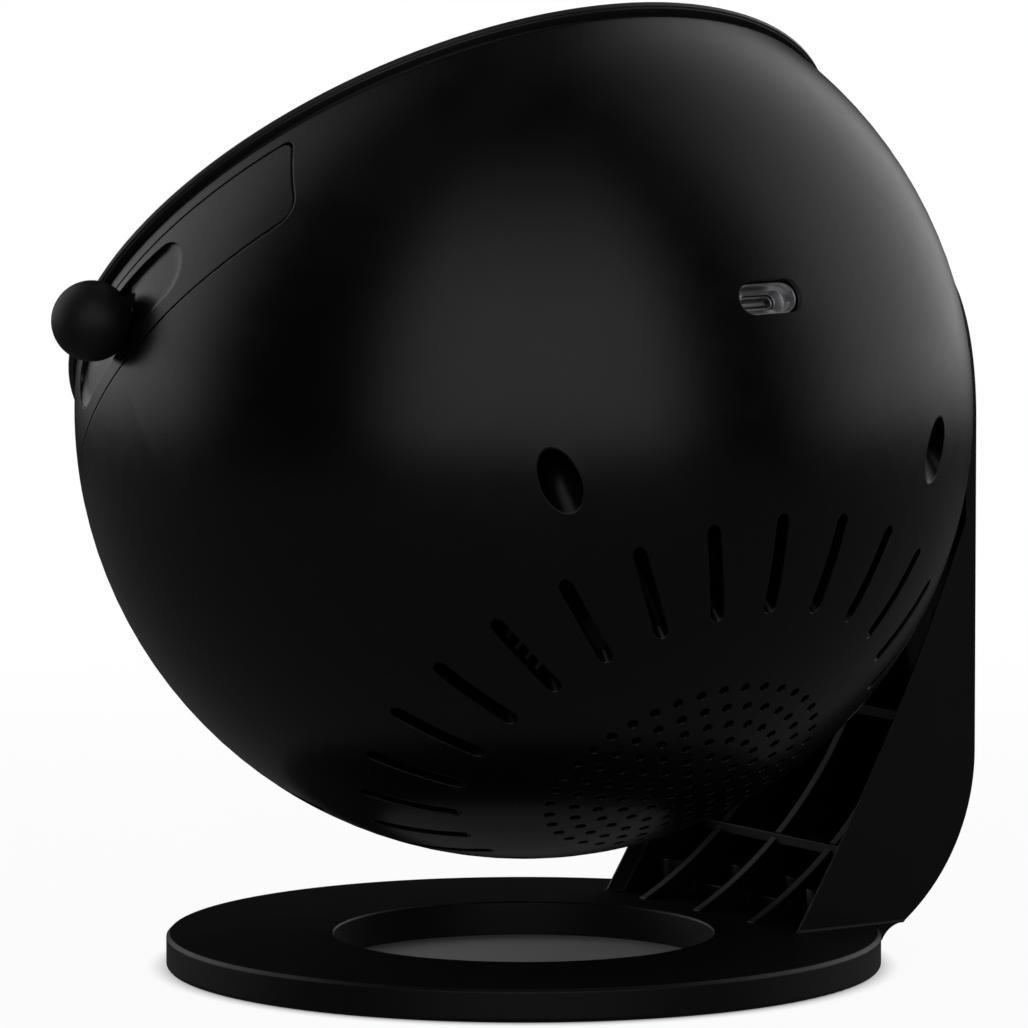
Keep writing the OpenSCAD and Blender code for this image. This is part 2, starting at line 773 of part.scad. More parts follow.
module rear_shell() {
    color("#131416") in_head() difference() {
        union() {
            difference() {
                sphere(r = head_r, $fn = 160);
                sphere(r = inner_r, $fn = 160);
            }
            intersection() {
                sphere(r = head_r - shell_wall / 2, $fn = 160);
                shell_inside();
            }
        }
        z_rod(far / 2, shell_edge_z, far);
        translate([-far, -far / 2, -far / 2]) cube([far - pivot_flat_x, far, far]);
        x_rod(bolt_r + 2 * run_fit, -far / 2, 0);
        cooling_slots();
        intake_holes();
        at_wells() z_rod(well_r, -far / 2, well_floor_z);
        at_wells() z_rod(shell_screw_r + screw_fit, 0, chassis_z + 1);
        at_fan_screws() z_rod(1.2, fan_low_z - 3, fan_low_z + 1);
        tray_cover_prism(seam);
        at_socket() translate([0, 0, socket_dist]) linear_extrude(far)
            stadium(socket_recess_w, socket_recess_h);
        at_socket() translate([0, 0, socket_dist - 3 * socket_wall]) linear_extrude(far)
            stadium(usb_w + 2 * screw_fit, usb_h + 2 * screw_fit);
    }
}

module shell_screws() {
    color("#8d9094") in_head() at_wells() translate([0, 0, well_floor_z])
        screw(shell_screw_head_r, shell_screw_head_t, shell_screw_r, shell_screw_len);
}

// ---- Front ----

module front_bezel() {
    post_low_z = chassis_z + chassis_t;
    post_top_z = dish_z(norm([well_x, well_y]) - post_r) - panel_t - 0.2;
    groove_r = skirt_r + 0.6;
    color("#1c1d1f") in_head() difference() {
        union() {
            rotate_extrude() {
                translate([lip_in_r, lip_z]) square([lip_r - lip_in_r - 0.35, lip_t]);
                translate([lip_in_r, lip_z + 0.35]) square([lip_r - lip_in_r, lip_t - 0.7]);
                translate([skirt_r - skirt_t, skirt_low_z]) square([skirt_t, lip_z - skirt_low_z + 0.1]);
                translate([skirt_r - skirt_t, shell_edge_z + face_gap])
                    square([groove_r - skirt_r + skirt_t, groove_w]);
                translate([lip_in_r - 3, panel_top_z - panel_t - 1.6]) square([skirt_r - lip_in_r + 2, 1.5]);
            }
            intersection() {
                at_wells() z_rod(post_r, post_low_z, post_top_z);
                z_rod(skirt_r, 0, far);
            }
        }
        at_wells() z_rod(shell_screw_r + screw_fit, 0, well_floor_z + shell_screw_len + 1);
        tray_cover_prism(2 * seam);
    }
}

// Angle of button number i round the axis, from the +x side
function button_angle(i) = -90 + (i - 1.5) * button_step;

module at_button(i) {
    rotate([0, 0, button_angle(i)]) translate([button_ring_r, 0, 0]) children();
}

module front_panel() {
    color("#0e0f11") in_head() difference() {
        union() {
            intersection() {
                z_rod(panel_rim_r, 0, panel_top_z);
                difference() {
                    translate([0, 0, dish_mid_z]) sphere(r = dish_r + panel_t, $fn = 200);
                    translate([0, 0, dish_mid_z]) sphere(r = dish_r, $fn = 200);
                }
            }
            intersection() {
                z_rod(panel_rim_r, panel_top_z - panel_t, panel_top_z);
                difference() {
                    z_rod(far, 0, far);
                    translate([0, 0, dish_mid_z]) sphere(r = dish_r, $fn = 200);
                }
            }
            for (side = [-1, 1]) rotate([0, 0, -90 + side * button_step]) translate([button_ring_r, 0, 0])
                z_rod(2, control_z + board_t, dish_z(button_ring_r) - 0.5);
            difference() {
                z_rod(guide_flange_r, flange_z, dish_mid_z);
                translate([0, 0, dish_mid_z]) sphere(r = dish_r, $fn = 200);
            }
        }
        z_rod(panel_hole_r, 0, far);
        for (i = [0 : 3]) at_button(i) z_rod(button_r + part_gap, 0, far);
        rotate([0, 0, -90]) translate([button_ring_r, 0, 0]) z_rod(1.3, 0, far);
        rotate([0, 0, 90]) for (k = [0 : 2]) rotate([0, 0, 120 * k]) translate([optics_screw_ring, 0, 0])
            z_rod(optics_screw_r + screw_fit, flange_z - 1, flange_z + 1.2);
    }
}

// Round push button with a hidden flange and a stem that meets its switch
module push_button(i) {
    top_z = dish_z(button_ring_r) + button_rise;
    color("#26282b") in_head() at_button(i) {
        z_rod(button_r, button_seat_z, top_z);
        z_rod(button_flange_r, button_seat_z - button_flange_t, button_seat_z);
        z_rod(1.5, button_stem_z, button_seat_z);
    }
}

module power_button() { push_button(0); }
module rotation_button() { push_button(1); }
module timer_button() { push_button(2); }
module light_button() { push_button(3); }

module control_board() {
    color("#1d5a36") in_head()
        translate([-control_w / 2, -button_ring_r - 4.5, control_z]) cube([control_w, 17, board_t]);
}

module tact_switches() {
    side = 6;
    color("#c9cbcc") in_head() for (i = [0 : 3]) at_button(i)
        translate([-side / 2, -side / 2, control_z + board_t]) cube([side, side, switch_h]);
}

module status_light() {
    color("#d9e6ea") in_head() rotate([0, 0, -90]) translate([button_ring_r, 0, 0])
        z_rod(1.2, control_z + board_t, dish_z(button_ring_r) + 0.2);
}

// ---- Chassis and tray rails ----

module at_optics_screws(ring, turn) {
    for (k = [0 : 2]) rotate([0, 0, turn + 120 * k]) translate([ring, 0, 0]) children();
}

module chassis_plate() {
    color("#2a2c2f") in_head() difference() {
        z_rod(chassis_r, chassis_z, chassis_z + chassis_t);
        z_rod(cond_house_r + part_gap, 0, far);
        translate([-far, -hub_r - 4, 0]) cube([far - hub_in_x + 11.5, 2 * hub_r + 8, far]);
        at_wells() z_rod(shell_screw_r + screw_fit, 0, far);
        at_optics_screws(optics_screw_ring, 90) z_rod(optics_screw_r + screw_fit, 0, far);
    }
}

module tray_rails() {
    foot_z = chassis_z + chassis_t;
    top_z = tray_z + tray_t + rail_gap + rail_lip_t;
    web_y = tray_half_w + rail_gap;
    color("#3b3e42") in_head() for (side = [0, 1]) mirror([0, side, 0]) translate([-tray_rear_x, 0, 0]) {
        span = rail_front_x + tray_rear_x;
        difference() {
            translate([0, web_y - rail_grip, foot_z]) cube([span, rail_grip + rail_t, top_z - foot_z]);
            translate([-1, web_y - rail_grip - 1, tray_z - rail_gap])
                cube([span + 2, rail_grip + 1, tray_t + 2 * rail_gap]);
            translate([-1, web_y - rail_grip - 1, foot_z + 2])
                cube([span + 2, rail_grip + 1, tray_z - rail_gap - 2 - foot_z - 2]);
        }
    }
}

// ---- Disc tray ----

module scoop(r, x_out) {
    half = scoop_half_w - scoop_r;
    translate([scoop_x, 0, scoop_z]) {
        rotate([90, 0, 0]) cylinder(r = r, h = 2 * half, center = true);
        for (side = [-1, 1]) translate([0, side * half, 0]) sphere(r = r, $fn = 64);
    }
    translate([0, 0, scoop_z]) along_x(scoop_x, x_out) stadium(2 * half + 2 * r, 2 * r);
}

module tray_panel() {
    floor_x = scoop_x - scoop_r;
    color("#131416") in_head() difference() {
        union() {
            intersection() {
                tray_cover_prism(0);
                difference() {
                    sphere(r = head_r, $fn = 160);
                    sphere(r = inner_r, $fn = 160);
                }
            }
            intersection() {
                scoop(scoop_r + scoop_wall, far / 2);
                sphere(r = head_r - shell_wall / 2, $fn = 160);
                tray_cover_prism(0);
            }
        }
        scoop(scoop_r, far / 2);
        translate([0, 0, knob_z]) x_rod(stem_r + screw_fit, floor_x - 4, floor_x + 2);
    }
}

module knob_stem() {
    floor_x = scoop_x - scoop_r;
    color("#8d9094") in_head() translate([0, 0, knob_z]) {
        x_rod(stem_r, floor_x - 1.5, knob_x);
        x_rod(stem_r + 0.8, floor_x - 3.2, floor_x - 1.7);
        x_rod(stem_r, floor_x - 2, floor_x - 1);
    }
}

module ball_knob() {
    color("#0f1012") in_head() translate([0, 0, knob_z]) difference() {
        translate([knob_x, 0, 0]) sphere(r = knob_r);
        x_rod(stem_r + screw_fit, 0, knob_x + 0.1);
    }
}

module tray_frame() {
    color("#33363a") in_head() difference() {
        intersection() {
            translate([-tray_rear_x, -tray_half_w, tray_z]) cube([far, 2 * tray_half_w, tray_t]);
            sphere(r = inner_r - face_gap, $fn = 160);
        }
        scoop(scoop_r + scoop_wall + face_gap, far);
        z_rod(ledge_r, 0, far);
        z_rod(ring_well_r, tray_z + ledge_t, far);
        translate([-far, -pinion_notch, 0]) cube([far - pinion_x + pinion_notch, 2 * pinion_notch, far]);
    }
}

// Small hooks that hold the turntable ring down in the tray
module ring_clips() {
    clip_w = 6;
    color("#4a4d52") in_head() for (angle = clip_angles) rotate([0, 0, angle]) {
        translate([ring_well_r + 0.2, -clip_w / 2, tray_z + tray_t])
            cube([2.6, clip_w, ring_z + ring_h + 1 - tray_z - tray_t]);
        translate([ring_well_r - 2.2, -clip_w / 2, ring_z + ring_h + 0.2]) cube([5, clip_w, 0.8]);
    }
}

// ---- Turntable ----

module gear_ring() {
    color("#d8d5cb") in_head() translate([0, 0, ring_z]) difference() {
        linear_extrude(ring_h) rotate(180 / ring_teeth) gear_outline(ring_teeth);
        z_rod(disc_open_r, -1, far);
        z_rod(disc_seat_r, disc_z - ring_z, far);
    }
}

module star_disc() {
    color("#101a33", 0.9) in_head() difference() {
        z_rod(disc_r, disc_z, disc_z + disc_t);
        translate([0, disc_r, disc_z - 1]) cylinder(r = 1.2, h = far);
    }
}

module disc_clip() {
    color("#8d9094") in_head() z_tube(disc_r, disc_open_r, disc_z + disc_t + face_gap, disc_z + disc_t + 0.7);
}

module drive_pinion() {
    motor_top_z = chassis_z + chassis_t + motor_h;
    color("#d8d5cb") in_head() translate([-pinion_x, 0, 0]) {
        translate([0, 0, ring_z]) linear_extrude(ring_h) gear_outline(pinion_teeth);
        z_rod(shaft_r, motor_top_z - 5, ring_z);
        z_rod(2.4, motor_top_z + 0.2, ring_z);
    }
}

module disc_motor() {
    low_z = chassis_z + chassis_t;
    color("#b3b5b8") in_head() translate([-pinion_x, 0, 0]) difference() {
        union() {
            z_rod(motor_r, low_z, low_z + motor_h);
            translate([-3.5, -motor_r - 5, low_z]) cube([7, 2 * motor_r + 10, 1.2]);
        }
        z_rod(shaft_r + run_fit, low_z + motor_h - 5.5, far);
        for (side = [-1, 1]) translate([0, side * (motor_r + 2.6), 0]) z_rod(1.4, 0, far);
    }
}

// ---- Lens group ----

module lens_guide() {
    color("#202225") in_head() difference() {
        union() {
            z_rod(guide_r, guide_low_z, guide_top_z);
            z_rod(guide_flange_r, flange_z - guide_flange_t, flange_z);
        }
        z_rod(barrel_r + run_fit, 0, far);
        translate([0, 0, pin_z]) rotate([-90, 0, 0]) cylinder(r = pin_r + 0.2, h = far);
        translate([-pin_r - 0.2, 0, pin_z]) cube([2 * pin_r + 0.4, far, focus_travel + 0.3]);
        translate([0, 0, pin_z + focus_travel + 0.3]) rotate([-90, 0, 0]) cylinder(r = pin_r + 0.2, h = far);
        at_optics_screws(optics_screw_ring, 90) z_rod(optics_screw_r + screw_fit, 0, far);
    }
}

module focus_ring() {
    color("#1b1c1f") in_head() difference() {
        z_rod(focus_r, focus_z, focus_z + focus_h);
        z_rod(guide_r + run_fit, 0, far);
        z_rod(guide_r + groove_depth + 0.4, pin_z - pin_r - 0.4, pin_z + focus_travel + pin_r + 0.7);
    }
}

module focus_grip() {
    rib_count = 36;
    grip_r = focus_r + grip_t;
    low_z = focus_z + 2;
    high_z = focus_z + focus_h - 2;
    color("#0b0b0c") in_head() difference() {
        z_tube(grip_r, focus_r + face_gap, low_z, high_z);
        for (i = [0 : rib_count - 1]) rotate([0, 0, i * 360 / rib_count]) translate([grip_r, 0, 0])
            z_rod(0.8, low_z - 1, high_z + 1);
    }
}

module lens_barrel() {
    rear_seat_z = barrel_low_z + 1.3;
    front_seat_z = barrel_top_z - 6;
    color("#232528") in_head() difference() {
        z_rod(barrel_r, barrel_low_z, barrel_top_z);
        z_rod(rear_lens_r - 1.5, 0, far);
        z_rod(rear_lens_r + face_gap, rear_seat_z, far);
        z_rod(front_lens_r + face_gap, front_seat_z, far);
        translate([0, 0, pin_z]) rotate([-90, 0, 0]) cylinder(r = pin_r + face_gap, h = far);
    }
}

module rear_lens() {
    color("#cfe0e6", 0.5) in_head() dome_lens(rear_lens_r, barrel_low_z + 1.3, 2, 3);
}

module front_lens() {
    color("#cfe0e6", 0.5) in_head() dome_lens(front_lens_r, barrel_top_z - 6, 1.6, 3.2);
}

module lens_retainer() {
    low_z = barrel_top_z - 6 + 1.6 + 0.95;
    color("#17181a") in_head() difference() {
        z_rod(front_lens_r, low_z, barrel_top_z);
        translate([0, 0, low_z - 1]) cylinder(r1 = front_lens_r - 2.2, r2 = front_lens_r - 0.9, h = 7);
    }
}

module focus_pin() {
    color("#a3a6aa") in_head() translate([0, 0, pin_z]) rotate([-90, 0, 0])
        translate([0, 0, rear_lens_r + 1]) cylinder(r = pin_r, h = guide_r + groove_depth - rear_lens_r - 1);
}

// ---- Lamp and condenser ----

module condenser_housing() {
    bore_r = front_cond_r + 0.2;
    rear_bore_r = rear_cond_r + 0.1;
    ledge_in_r = front_cond_r - 2;
    flange_low = chassis_z - cond_flange_t;
    color("#2d2f33") in_head() difference() {
        union() {
            z_rod(cond_house_r, cond_low_z, cond_top_z);
            z_rod(cond_flange_r, flange_low, chassis_z);
            z_rod(cond_flange_r, cond_low_z, cond_low_z + cond_flange_t);
        }
        z_rod(bore_r, cond_low_z - 1, rear_cond_z - 3);
        z_rod(rear_cond_r - 1.5, cond_low_z, front_cond_z);
        z_rod(rear_bore_r, rear_cond_z, front_cond_z);
        z_rod(ledge_in_r, rear_cond_z + 7, front_cond_z + 1);
        z_rod(bore_r, front_cond_z, far);
        at_optics_screws(optics_screw_ring, 90) z_rod(optics_screw_r + screw_fit, flange_low - 1, far);
        at_optics_screws(optics_screw_ring, 30) z_rod(optics_screw_r + screw_fit, cond_low_z - 1, -10);
        translate([lamp_lead_x - lead_pitch - 2 * lead_r, 0, cond_low_z + cond_flange_t])
            cube([lead_pitch + 4 * lead_r, far, 4 * lead_r]);
    }
}

module rear_condenser() {
    color("#cfe0e6", 0.5) in_head() dome_lens(rear_cond_r, rear_cond_z, 2, 4);
}

module front_condenser() {
    color("#cfe0e6", 0.5) in_head() dome_lens(front_cond_r, front_cond_z, 1.5, 4.5);
}

module led_board() {
    color("#e3e4e2") in_head() z_rod(led_board_r, cond_low_z, cond_low_z + led_board_t);
}

module led_emitter() {
    base_z = cond_low_z + led_board_t;
    color("#e6d58a") in_head() {
        translate([-led_side / 2, -led_side / 2, base_z]) cube([led_side, led_side, 1]);
        translate([0, 0, base_z + 1]) intersection() {
            sphere(r = led_side / 2 - 0.2, $fn = 48);
            z_rod(led_side, 0, led_side);
        }
    }
}

module heat_sink() {
    base_low = cond_low_z - sink_base_t;
    pitch = 2 * (fin_r - fin_t) / (fin_count - 1);
    color("#9a9da1") in_head() difference() {
        union() {
            z_rod(cond_flange_r, base_low, cond_low_z);
            z_rod(6, base_low - fin_len, base_low);
            intersection() {
                z_rod(fin_r, base_low - fin_len, base_low);
                for (i = [0 : fin_count - 1])
                    translate([(i - (fin_count - 1) / 2) * pitch - fin_t / 2, -fin_r, -far / 2])
                    cube([fin_t, 2 * fin_r, far / 2]);
            }
        }
        at_optics_screws(optics_screw_ring, 30) z_rod(optics_screw_r + screw_fit, base_low - 1, 0);
    }
}

// Nine alike: three under the chassis, three under the heat sink, three in the lens guide
module optics_screws() {
    color("#8d9094") in_head() {
        at_optics_screws(optics_screw_ring, 90) translate([0, 0, chassis_z - cond_flange_t])
            screw(optics_screw_head_r, optics_screw_head_t, optics_screw_r, 4);
        at_optics_screws(optics_screw_ring, 30) translate([0, 0, cond_low_z - sink_base_t])
            screw(optics_screw_head_r, optics_screw_head_t, optics_screw_r, 4);
        at_optics_screws(optics_screw_ring, 90) translate([0, 0, flange_z - guide_flange_t])
            screw(optics_screw_head_r, 0.7, optics_screw_r, guide_flange_t + 1);
    }
}

// ---- Fan ----

module fan_frame() {
    strut_t = 1.6;
    color("#0d0e0f") in_head() translate([0, 0, fan_low_z]) difference() {
        union() {
            difference() {
                translate([-fan_side / 2, -fan_side / 2, 0]) cube([fan_side, fan_side, fan_depth]);
                z_rod(fan_bore_r, -1, far);
            }
            z_rod(fan_hub_r + 1, 0, strut_t);
            for (turn = [0 : 90 : 270]) rotate([0, 0, turn]) translate([fan_hub_r, -1.2, 0])
                cube([fan_bore_r - fan_hub_r + 0.5, 2.4, strut_t]);
        }
        z_rod(1.5 + run_fit, -1, far);
        at_fan_screws() z_rod(1.7, -1, far);
        for (x = [-1, 1]) for (y = [-1, 1]) translate([x * fan_side / 2, y * fan_side / 2, fan_depth / 2])
            rotate([0, 0, 45]) cube([4, 4, fan_depth + 2], center = true);
    }
}

module fan_rotor() {
    low = 2.2;
    high = fan_depth - 0.6;
    color("#16181a") in_head() translate([0, 0, fan_low_z]) {
        z_rod(fan_hub_r, low, high);
        z_rod(1.5, 0.2, low);
        intersection() {
            z_tube(fan_bore_r - blade_gap, fan_hub_r - 1, low, high);
            for (i = [0 : blade_count - 1]) rotate([0, 0, i * 360 / blade_count])
                translate([fan_hub_r - 2, 0, fan_depth / 2 + 0.8]) rotate([38, 0, 0])
                    translate([0, -far / 4, -0.6])
                    intersection() {
                        cube([fan_bore_r, far / 2, 1.2]);
                        translate([-1, far / 4 - 8, -1]) cube([fan_bore_r + 2, 16, 4]);
                    }
        }
    }
}

module fan_screws() {
    color("#8d9094") in_head() at_fan_screws() translate([0, 0, fan_low_z + fan_depth])
        rotate([180, 0, 0]) screw(2.6, 1.6, 1.1, fan_depth + 2.4);
}

// ---- Electronics ----

module at_board_posts() {
    for (x = [-board_half_w + 4, board_half_w - 4]) for (y = [4, board_d - 4])
        translate([x, board_y + y, 0]) children();
}

module main_board() {
    color("#1d5a36") in_head() {
        difference() {
            translate([-board_half_w, board_y, board_z]) cube([2 * board_half_w, board_d, board_t]);
            at_board_posts() z_rod(1.3, 0, far);
        }
        at_board_posts() z_tube(2.4, 1.3, board_z + board_t, chassis_z);
    }
}

module board_parts() {
    color("#2b2d31") in_head() translate([0, board_y, board_z]) {
        translate([-12, 9, -1.5]) cube([12, 12, 1.5]);
        translate([10, 13, -2]) cube([8, 7, 2]);
        translate([-25, 16, -7]) cube([9, 9, 7]);
        for (x = [5, 13, 21]) translate([x, 6, 0]) z_rod(3, -9, 0);
        translate([-24, 2.5, -5]) cube([14, 5, 5]);
    }
}

module usb_board() {
    color("#1d5a36") in_head() at_socket()
        translate([-usb_board_w / 2, -usb_h / 2 - usb_board_t,
            socket_dist - socket_wall - usb_board_len - face_gap])
            cube([usb_board_w, usb_board_t, usb_board_len]);
}

module usb_socket() {
    shell_t = 0.35;
    color("#b9bcc0") in_head() at_socket() translate([0, 0, socket_dist - usb_len]) {
        difference() {
            linear_extrude(usb_len) stadium(usb_w, usb_h);
            translate([0, 0, 1]) linear_extrude(usb_len) stadium(usb_w - 2 * shell_t, usb_h - 2 * shell_t);
        }
        translate([-usb_w / 2 + 1.2, -0.3, 0.5]) cube([usb_w - 2.4, 0.6, usb_len - 1.2]);
    }
}

module usb_leads() {
    near = socket_dist - 11.2;
    y = board_y + board_d - 6;
    route = [[2, near * sin(socket_polar), -near * cos(socket_polar) + 0.2], [2, y + 1.5, -18], [2, y, -12],
        [2, y, -6], [2, y, 0], [2, y, board_z - 0.2]];
    color("#7a1f1c") in_head() for (x = [0, lead_pitch]) translate([x, 0, 0]) lead(route, lead_r);
}

module lamp_leads() {
    y = board_y + 5;
    route = [[0, y, board_z - 0.2], [0, y, -3], [0, y - 0.5, -9], [0, 35, -14], [0, 30, -16], [0, 22, -16.4],
        [0, 14, -16.8], [0, 10, -17.55]];
    color("#c9b13a") in_head() for (x = [-lead_pitch, 0])
        translate([x + lamp_lead_x, 0, 0]) lead(route, lead_r);
}

module fan_leads() {
    y = board_y + 11;
    route = [[26, y, board_z - 0.2], [26, y, -6], [25, y - 1, -20], [22, 38, -36], [17, 31.5, -50],
        [14, 28, fan_low_z + 10], [13, 26.2, fan_low_z + 5]];
    color("#a33a2a") in_head() for (x = [0, lead_pitch]) translate([x, 0, 0]) lead(route, lead_r);
}

base_ring();
base_pad();
support_arm();
arm_screws();
pivot_bolt();
pivot_cap();
friction_washer();
pressure_washer();
spring_washer();
pivot_nut();
rear_shell();
front_bezel();
front_panel();
shell_screws();
chassis_plate();
tray_rails();
disc_motor();
condenser_housing();
rear_condenser();
front_condenser();
optics_screws();
led_board();
led_emitter();
heat_sink();
fan_frame();
fan_screws();
main_board();
board_parts();
usb_board();
usb_socket();
control_board();
tact_switches();
lens_guide();
status_light();
usb_leads();
lamp_leads();
fan_leads();
tray_frame();
tray_panel();
knob_stem();
ball_knob();
ring_clips();
gear_ring();
star_disc();
disc_clip();
drive_pinion();
focus_ring();
focus_grip();
lens_barrel();
rear_lens();
front_lens();
lens_retainer();
focus_pin();
power_button();
rotation_button();
timer_button();
light_button();
fan_rotor();
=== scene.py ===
import json
import math

import bmesh
import bpy
from mathutils import Matrix, Vector


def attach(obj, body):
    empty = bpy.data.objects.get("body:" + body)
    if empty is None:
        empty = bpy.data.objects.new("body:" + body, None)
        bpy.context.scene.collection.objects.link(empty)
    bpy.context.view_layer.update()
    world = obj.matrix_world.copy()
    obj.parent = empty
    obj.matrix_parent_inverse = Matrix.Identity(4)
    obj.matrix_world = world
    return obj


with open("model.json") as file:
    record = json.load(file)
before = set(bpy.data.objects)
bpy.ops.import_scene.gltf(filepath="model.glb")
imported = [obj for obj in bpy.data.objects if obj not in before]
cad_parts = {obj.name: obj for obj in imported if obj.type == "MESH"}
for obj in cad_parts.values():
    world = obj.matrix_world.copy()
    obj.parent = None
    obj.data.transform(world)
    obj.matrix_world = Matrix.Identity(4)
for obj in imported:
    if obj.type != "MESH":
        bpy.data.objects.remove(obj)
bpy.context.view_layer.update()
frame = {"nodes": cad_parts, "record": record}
nodes = frame["nodes"]
scene = bpy.context.scene
scene.view_settings.view_transform = "Standard"

MM = 0.001
WHITE = (1, 1, 1, 1)
HEAD_CENTRE = (0, 0, 0.1)  # metres: where the tilt axis and the projecting axis cross

# ---------------------------------------------------------------- camera
CAMERA_PLACE = Vector((1.1986, 1.7418, 0.3440))
CAMERA_TARGET = Vector((0.001432, -0.000984, 0.081274))
SENSOR_WIDTH = 36
FOCAL_LENGTH = 418.46

camera_data = bpy.data.cameras.new("photo_camera")
camera_data.sensor_width = SENSOR_WIDTH
camera_data.lens = FOCAL_LENGTH
camera_data.clip_start = 0.05
camera_data.clip_end = 60
camera = bpy.data.objects.new("photo_camera", camera_data)
scene.collection.objects.link(camera)
camera.location = CAMERA_PLACE
camera.rotation_mode = "QUATERNION"
camera.rotation_quaternion = (CAMERA_TARGET - CAMERA_PLACE).to_track_quat("-Z", "Y")
scene.camera = camera


# ---------------------------------------------------------------- node trees
class Shader:
    """The node tree of a material or a world, with short ways to add and join nodes."""

    def __init__(self, name, world=False):
        kind = "World" if world else "Material"
        self.owner = (bpy.data.worlds if world else bpy.data.materials).new(name)
        self.owner.use_nodes = True
        self.tree = self.owner.node_tree
        self.tree.nodes.clear()
        self.out = self.tree.nodes.new("ShaderNodeOutput" + kind)

    def fill(self, socket, value):
        """Joins a socket to another one, or gives it a constant."""
        if isinstance(value, bpy.types.NodeSocket):
            self.tree.links.new(value, socket)
        else:
            socket.default_value = value

    def node(self, kind, inputs=None, **settings):
        n = self.tree.nodes.new("ShaderNode" + kind)
        for key, value in settings.items():
            setattr(n, key, value)
        for key, value in (inputs or {}).items():
            self.fill(n.inputs[key], value)
        return n

    def coords(self):
        return self.node("TexCoord").outputs["Object"]

    def noise(self, scale, detail=2.0, roughness=0.5, vector=None):
        return self.node(
            "TexNoise",
            {"Vector": vector or self.coords(), "Scale": scale, "Detail": detail, "Roughness": roughness},
        ).outputs["Fac"]

    def span(self, value, lo, hi, from_lo=0.0, from_hi=1.0, smooth=False):
        """lo where the value is from_lo, hi where it is from_hi, and between them between."""
        return self.node(
            "MapRange",
            {"Value": value, "From Min": from_lo, "From Max": from_hi, "To Min": lo, "To Max": hi},
            interpolation_type="SMOOTHSTEP" if smooth else "LINEAR",
        ).outputs["Result"]

    def math(self, operation, a, b=0.0):
        return self.node("Math", {0: a, 1: b}, operation=operation).outputs[0]

    def mix(self, fac, a, b):
        n = self.node("Mix", data_type="RGBA")
        for socket, value in zip((0, 6, 7), (fac, a, b)):  # the factor and the two colours
            self.fill(n.inputs[socket], value)
        return n.outputs[2]

    def finish(self, shader_node):
        self.fill(self.out.inputs[0], shader_node.outputs[0])
        return self.owner


def rgba(c, k=1.0):
    return (c[0] * k, c[1] * k, c[2] * k, 1.0)


def emitter(name, glow):
    """A white light whose strength the function glow works out in its tree."""
    s = Shader(name)
    e = s.node("Emission", {"Color": WHITE})
    s.fill(e.inputs["Strength"], glow(s))
    return s.finish(e)


# ---------------------------------------------------------------- lamps
LAMP_R = 1.3
LAMP_COLS, LAMP_ROWS = 24, 18
KEEP_BELOW_ONE = 0.999  # so that the arcsine stays defined at the top


def softbox(name, az, el, strength, swell=0.0):
    """A soft panel lamp: a patch of a large ball round the object, lit between four soft edges.

    az and el give, in degrees, where the light starts, is full, starts to fade, and ends.
    swell makes it stronger towards its end in az, and weaker towards its start.
    """
    mid = (az[0] + az[3]) / 2
    bm = bmesh.new()
    grid = []
    for i in range(LAMP_COLS + 1):
        a = math.radians(az[0] + (az[3] - az[0]) * i / LAMP_COLS - mid)
        col = []
        for j in range(LAMP_ROWS + 1):
            e = math.radians(el[0] + (el[3] - el[0]) * j / LAMP_ROWS)
            point = (math.cos(a) * math.cos(e), math.sin(a) * math.cos(e), math.sin(e))
            col.append(bm.verts.new([LAMP_R * v for v in point]))
        grid.append(col)
    for i in range(LAMP_COLS):
        for j in range(LAMP_ROWS):
            bm.faces.new((grid[i][j], grid[i + 1][j], grid[i + 1][j + 1], grid[i][j + 1]))
    mesh = bpy.data.meshes.new(name)
    bm.to_mesh(mesh)
    bm.free()
    panel = bpy.data.objects.new(name, mesh)
    scene.collection.objects.link(panel)
    panel.location = HEAD_CENTRE
    panel.rotation_euler = (0, 0, math.radians(mid))

    def glow(s):
        split = s.node("SeparateXYZ", {"Vector": s.coords()})
        a = s.math("ARCTAN2", split.outputs["Y"], split.outputs["X"])
        e = s.math("ARCSINE", s.math("MULTIPLY", split.outputs["Z"], KEEP_BELOW_ONE / LAMP_R))
        total = None
        for angle, marks in ((a, [m - mid for m in az]), (e, el)):
            m = [math.radians(v) for v in marks]
            part = s.math("MULTIPLY", s.span(angle, 0.0, 1.0, m[0], m[1], smooth=True),
                          s.span(angle, 1.0, 0.0, m[2], m[3], smooth=True))
            total = part if total is None else s.math("MULTIPLY", total, part)
        half = math.radians(az[3] - mid)
        return s.math("MULTIPLY", total, s.span(a, strength - swell, strength + swell, -half, half))

    mesh.materials.append(emitter(name + "_light", glow))
    panel.visible_camera = False
    panel.visible_transmission = False
    panel.visible_shadow = False
    return panel


softbox("lamp_front", (11, 34, 86, 105), (-9, 2, 25, 85), 0.61)
softbox("lamp_right", (118, 155, 211, 223), (-9, 2, 12, 88), 0.78, 0.12)
softbox("lamp_left", (-108, -90, -50, -21), (-9, 2, 15, 80), 0.76)

# ---------------------------------------------------------------- flags, world and floor
# Dark flags all round, so that the glossy black plastic mirrors the lamps and not the white room
FLAG_R = 4.0
FLAG_GLOW = 0.065

flag_mesh = bpy.data.meshes.new("dark_flags")
flag_bm = bmesh.new()
bmesh.ops.create_icosphere(flag_bm, subdivisions=3, radius=FLAG_R)
flag_bm.to_mesh(flag_mesh)
flag_bm.free()
flags = bpy.data.objects.new("dark_flags", flag_mesh)
scene.collection.objects.link(flags)


def flag_glow(s):
    """Faint below the horizon and overhead, and dark between the lamps."""
    height = s.math("MULTIPLY", s.node("SeparateXYZ", {"Vector": s.coords()}).outputs["Z"], 1 / FLAG_R)
    low = s.span(height, FLAG_GLOW, 0.0, -0.2, -0.04, smooth=True)
    high = s.span(height, 0.0, FLAG_GLOW, 0.6, 0.97, smooth=True)
    return s.math("ADD", low, high)


